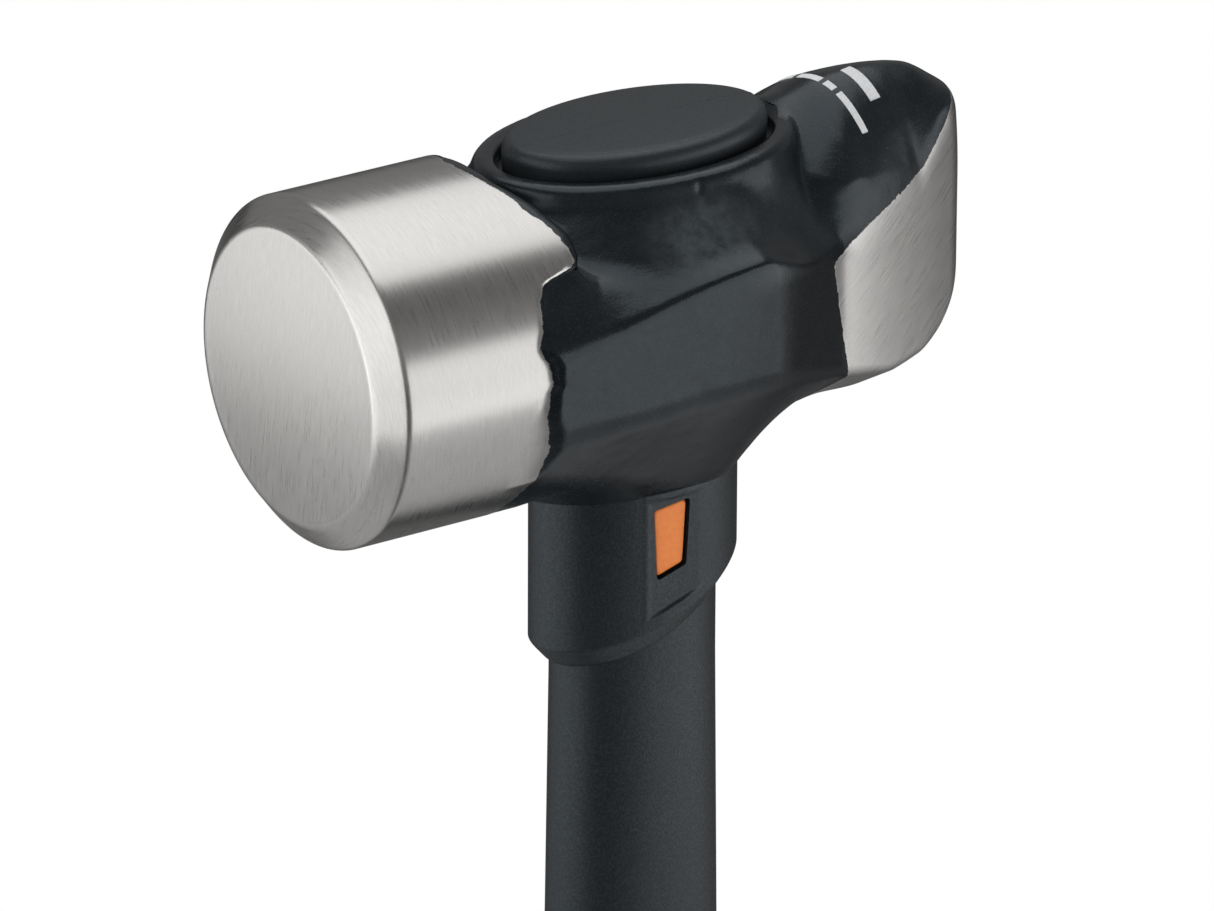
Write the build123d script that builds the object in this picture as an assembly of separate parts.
from build123d import *
import os

# Straight-peen hammer: round striking face on -X, narrow upright peen edge on +X.
# Frame: origin at the centre of the flat butt, +Z up the handle, millimetres.
# Sizes near the head are in head radii, with x and y from the handle axis and z from
# the head axis; values marked mm are not. Ovals are given by half sizes along x and y.

# ---------------------------------------------------------------- driving sizes
head_r = 28.0          # radius of the round striking end, mm
axis_z = 251.636       # height of the head axis above the butt, mm

face_x = -2.323        # striking face
face_flat_r = 0.840    # flat of the striking face
face_chamfer = 0.143   # axial length of the chamfer
barrel_length = 1.25   # round end behind the chamfer

rim = (1.000, 0.650)   # top of the eye boss
rim_z = 0.900
recess = (0.858, 0.538)  # pocket that takes the eye cap
recess_z = 0.820
recess_cut = 0.4       # height of the pocket cutter, past the rim
under = (0.790, 0.480)   # underside of the head round the collar
under_z = -1.060

eye_top = (0.640, 0.370)
eye_waist = (0.545, 0.310)
eye_bottom = (0.560, 0.325)
eye_high_z = recess_z + 0.02   # runs past the pocket floor
eye_waist_z = -0.10
eye_low_z = under_z - 0.06     # runs past the underside

bond_t = 0.028         # glue line between head and sleeve
sleeve_t = 0.060       # nominal wall of the isolation sleeve
core_inset = 0.02      # further inset of the core's flared top
sleeve_low = -1.610    # lower end of the sleeve
core = (0.400, 0.205)
core_top_z = 0.740

pad_top_w, pad_bottom_w = 0.230, 0.184     # full widths of the sleeve's window pad
pad_top_z, pad_bottom_z = -1.155, -1.552   # its ends, at mid width
pad_top_fall, pad_bottom_fall = 0.13, 0.29   # fall of its ends toward -X, per unit of x
window_gap = 0.012     # collar window round the pad

collar = (0.656, 0.407)
collar_low = -1.950    # collar's lower edge at the handle axis
collar_fall = 0.340    # its fall toward -X, per unit of x
collar_chamfer = 0.100
collar_blank_z = -2.30   # blank starts below the slanted edge
pad_y = collar[1] - 0.030    # pad's half thickness in y
panel_y = 0.391        # floor of the collar's side panels
panel_corners = [      # x, z
    (-0.160, -1.115), (0.200, -1.115), (0.200, -1.660), (-0.160, -1.780),
]

shaft = (0.521, 0.340)       # straight upper shaft
shaft_low = (0.545, 0.358)   # shaft where it meets the grip
shaft_straight_z = -2.2      # the taper ends here
shaft_bore_z = -2.6          # start of the collar's shaft bore, below the collar
tang = (0.46, 0.265)         # jacket inside the grip

cap_edge_z = 0.970     # lower edge of the eye cap's bevel
cap_top_z = 1.035
cap_foot = (0.822, 0.504)
cap_edge = (0.826, 0.508)
cap_top = (0.762, 0.446)
plug_low_inset, plug_high_inset = 0.06, 0.045   # plug inside the top of the eye

grip_top_z = 139.0     # mm
butt_h = 26.0          # height of the butt cap, mm
lanyard_z = 12.0       # mm
lanyard_r = 3.5        # mm
lanyard_cut = 60       # length of the hole cutter, mm

# Forging sections along x. Columns: x, half width, lower crease z, upper crease z,
# shoulder y and z, crown y and z, keel y and z.
stations = [
    (-1.190, 1.060, -0.270, 0.184, 0.830, 0.480, 0.420, 0.860, 0.550, -0.880),
    (-0.900, 1.060, -0.275, 0.250, 0.800, 0.500, 0.380, 0.860, 0.500, -1.000),
    (-0.300, 1.060, -0.255, 0.397, 0.760, 0.580, 0.400, 0.860, 0.450, -1.040),
    (0.140, 1.060, -0.260, 0.477, 0.780, 0.640, 0.400, 0.860, 0.450, -1.040),
    (0.500, 0.898, -0.350, 0.350, 0.740, 0.620, 0.400, 0.880, 0.360, -0.990),
    (0.835, 0.747, -0.455, 0.223, 0.680, 0.570, 0.300, 0.930, 0.200, -0.930),
    (1.210, 0.583, -0.565, 0.340, 0.535, 0.625, 0.220, 0.985, 0.120, -0.890),
    (1.588, 0.421, -0.622, 0.447, 0.375, 0.690, 0.160, 0.990, 0.100, -0.880),
    (1.829, 0.318, -0.590, 0.575, 0.275, 0.775, 0.120, 0.950, 0.080, -0.850),
    (2.002, 0.243, -0.480, 0.730, 0.200, 0.830, 0.090, 0.870, 0.070, -0.740),
    (2.113, 0.155, -0.320, 0.750, 0.120, 0.785, 0.050, 0.790, 0.050, -0.520),
    (2.160, 0.070, -0.240, 0.700, 0.050, 0.720, 0.020, 0.730, 0.030, -0.380),
]

# Columns: half size x, half size y, z. The boss ends at the rim, the skirt at the underside.
boss_levels = [(1.120, 0.820, 0.300), (1.040, 0.705, 0.620), (*rim, rim_z)]
skirt_levels = [(1.080, 0.860, -0.500), (0.960, 0.680, -0.840), (*under, under_z)]

# Columns: half size x, half size y, z, all mm.
grip_levels = [
    (19.6, 14.6, butt_h), (17.6, 13.4, 38.0), (16.2, 12.7, 56.0), (16.9, 13.3, 78.0),
    (17.1, 13.4, 98.0), (16.4, 12.6, 118.0), (15.9, 11.4, 132.0), (15.55, 10.6, grip_top_z),
]
butt_levels = [
    (16.8, 12.0, 0.0), (20.2, 14.9, 6.0), (20.9, 15.5, 14.0), (19.6, 14.6, butt_h),
]


# ---------------------------------------------------------------- helpers
def oval(a, b, z):
    """Oval section at height z, all in mm."""
    return Plane.XY.offset(z) * Ellipse(a, b)


def head_oval(a, b, z):
    """Oval section in head radii."""
    return oval(a * head_r, b * head_r, axis_z + z * head_r)


def head_loft(levels, ruled=False):
    return loft([head_oval(*level) for level in levels], ruled=ruled)


def head_prism(a, b, z_low, z_high):
    return extrude(head_oval(a, b, z_low), amount=(z_high - z_low) * head_r)


def inset(size, amount):
    return size[0] - amount, size[1] - amount


def polygon(points):
    """Flat face through x, y, z corners in head radii."""
    corners = [(x * head_r, y * head_r, axis_z + z * head_r) for x, y, z in points]
    return Face(Wire.make_polygon(corners, close=True))


def side_prism(outline, half_depth):
    """Outline of x, z corners, extruded both ways along y."""
    face = polygon([(x, 0, z) for x, z in outline])
    return extrude(face, amount=half_depth * head_r, both=True)


def largest(shape):
    return shape.solids().sort_by(SortBy.VOLUME)[-1]


def eye_loft(wall):
    """The eye's own shape, pulled in by wall."""
    return head_loft([
        (*inset(eye_bottom, wall), eye_low_z),
        (*inset(eye_waist, wall), eye_waist_z),
        (*inset(eye_top, wall), eye_high_z),
    ])


def trim_to_eye(shape):
    """Keep what lies between the underside of the head and the top of the core."""
    middle = axis_z + (under_z + core_top_z) / 2 * head_r
    slab = Box(3 * head_r, 3 * head_r, (core_top_z - under_z) * head_r)
    return shape & (Pos(0, 0, middle) * slab)


def pad_prism(grow, half_depth):
    """Slanted trapezoid of the window pad, grown all round by grow."""
    top = pad_top_w / 2 + grow
    bottom = pad_bottom_w / 2 + grow
    outline = [
        (-top, pad_top_z - pad_top_fall * top + grow),
        (top, pad_top_z + pad_top_fall * top + grow),
        (bottom, pad_bottom_z + pad_bottom_fall * bottom - grow),
        (-bottom, pad_bottom_z - pad_bottom_fall * bottom - grow),
    ]
    return side_prism(outline, half_depth)


# ---------------------------------------------------------------- head
def forging_section(x, half_w, crease_low, crease_high,
                    shoulder_y, shoulder_z, crown_y, crown_z, keel_y, keel_z):
    """Ten-cornered outline of the forging, mirrored across y = 0."""
    half = [(keel_y, keel_z), (half_w, crease_low), (half_w, crease_high),
            (shoulder_y, shoulder_z), (crown_y, crown_z)]
    outline = half + [(-y, z) for y, z in reversed(half)]
    return polygon([(x, y, z) for y, z in outline]).outer_wire()


def make_barrel():
    """Round striking end with its chamfered face."""
    shoulder = Plane.YZ.offset((face_x + face_chamfer) * head_r) * Circle(head_r)
    face = Plane.YZ.offset(face_x * head_r) * Circle(face_flat_r * head_r)
    nose = loft([face, shoulder])
    body = extrude(shoulder, amount=barrel_length * head_r)
    return Pos(0, 0, axis_z) * (nose + body)


def make_head():
    forging = Solid.make_loft([forging_section(*station) for station in stations], True)
    boss = head_loft(boss_levels)
    skirt = head_loft(skirt_levels, ruled=True)
    head = Part() + forging + make_barrel() + boss + skirt
    pocket = head_prism(*recess, recess_z, recess_z + recess_cut)
    return largest(head - pocket - eye_loft(0.0))


# ---------------------------------------------------------------- inside the eye
def make_core():
    """Straight bar up to the eye's waist, then flared to its top."""
    flare_top = inset(eye_top, bond_t + sleeve_t + core_inset)
    flare = head_loft([(*core, eye_waist_z), (*flare_top, core_top_z)])
    bar = extrude(oval(core[0] * head_r, core[1] * head_r, butt_h),
                  amount=axis_z + eye_waist_z * head_r - butt_h)
    return (bar + flare).solids()[0]


def make_bond():
    return largest(trim_to_eye(eye_loft(0.0)) - eye_loft(bond_t))


def make_sleeve(core_solid):
    lower = head_prism(*inset(eye_bottom, bond_t), sleeve_low, under_z)
    sleeve = trim_to_eye(eye_loft(bond_t)) + lower
    sleeve = sleeve + pad_prism(0.0, pad_y)
    return largest(sleeve - core_solid)


def make_cap():
    flange = head_loft([(*cap_foot, recess_z), (*cap_edge, cap_edge_z)])
    bevel = head_loft([(*cap_edge, cap_edge_z), (*cap_top, cap_top_z)])
    plug = head_loft([
        (*inset(eye_top, plug_low_inset), core_top_z),
        (*inset(eye_top, plug_high_inset), recess_z + 0.01),   # overlaps the flange
    ])
    return largest(flange + bevel + plug)


# ---------------------------------------------------------------- collar
def make_collar():
    blank = head_prism(*collar, collar_blank_z, under_z)
    reach = 1.2    # half length of the slanted cutter
    below = side_prism([
        (-reach, -3.0), (-reach, collar_low - reach * collar_fall),
        (reach, collar_low + reach * collar_fall), (reach, -3.0),
    ], 2)
    body = largest(blank - below)

    low_edges = [e for e in body.edges() if e.center().Z < axis_z - 1.40 * head_r]
    # The slanted oval edge may refuse a chamfer; it is then left sharp.
    try:
        body = largest(chamfer(low_edges, length=collar_chamfer * head_r))
    except Exception:
        pass

    sleeve_bore = head_prism(*inset(eye_bottom, bond_t), sleeve_low, under_z + 0.1)
    shaft_bore = head_prism(*shaft, shaft_bore_z, sleeve_low)
    window = pad_prism(window_gap, 1.0)
    # The panel cutter spares the middle, so it only skims the two y sides.
    spared = Pos(0, 0, axis_z - 1.4 * head_r) * Box(
        2 * head_r, 2 * panel_y * head_r, 2 * head_r)
    panels = side_prism(panel_corners, 1) - spared
    return largest(body - sleeve_bore - shaft_bore - window - panels)


# ---------------------------------------------------------------- handle
def make_tang():
    """Full oval of the jacket inside the grip, before the core is cut out."""
    return extrude(oval(tang[0] * head_r, tang[1] * head_r, butt_h),
                   amount=grip_top_z - butt_h)


def make_jacket(core_solid):
    taper = loft([
        oval(shaft_low[0] * head_r, shaft_low[1] * head_r, grip_top_z),
        head_oval(*shaft, shaft_straight_z),
    ], ruled=True)
    straight = head_prism(*shaft, shaft_straight_z, sleeve_low)
    return largest((taper + straight + make_tang()) - core_solid)


def make_grip(core_solid):
    grip = loft([oval(*level) for level in grip_levels])
    return largest(grip - make_tang() - core_solid)


def make_butt():
    """Butt cap with a lanyard hole along y."""
    butt = loft([oval(*level) for level in butt_levels])
    hole = Pos(0, 0, lanyard_z) * Rot(90, 0, 0) * Cylinder(lanyard_r, lanyard_cut)
    return largest(butt - hole)


# ---------------------------------------------------------------- write
core_solid = make_core()
pieces = {
    "hammer_head": make_head(),
    "eye_bond": make_bond(),
    "isolation_sleeve": make_sleeve(core_solid),
    "handle_core": core_solid,
    "overstrike_collar": make_collar(),
    "eye_cap": make_cap(),
    "shaft_jacket": make_jacket(core_solid),
    "soft_grip": make_grip(core_solid),
    "butt_cap": make_butt(),
}
os.makedirs("parts", exist_ok=True)
for name, piece in pieces.items():
    export_step(piece, f"parts/{name}.step")
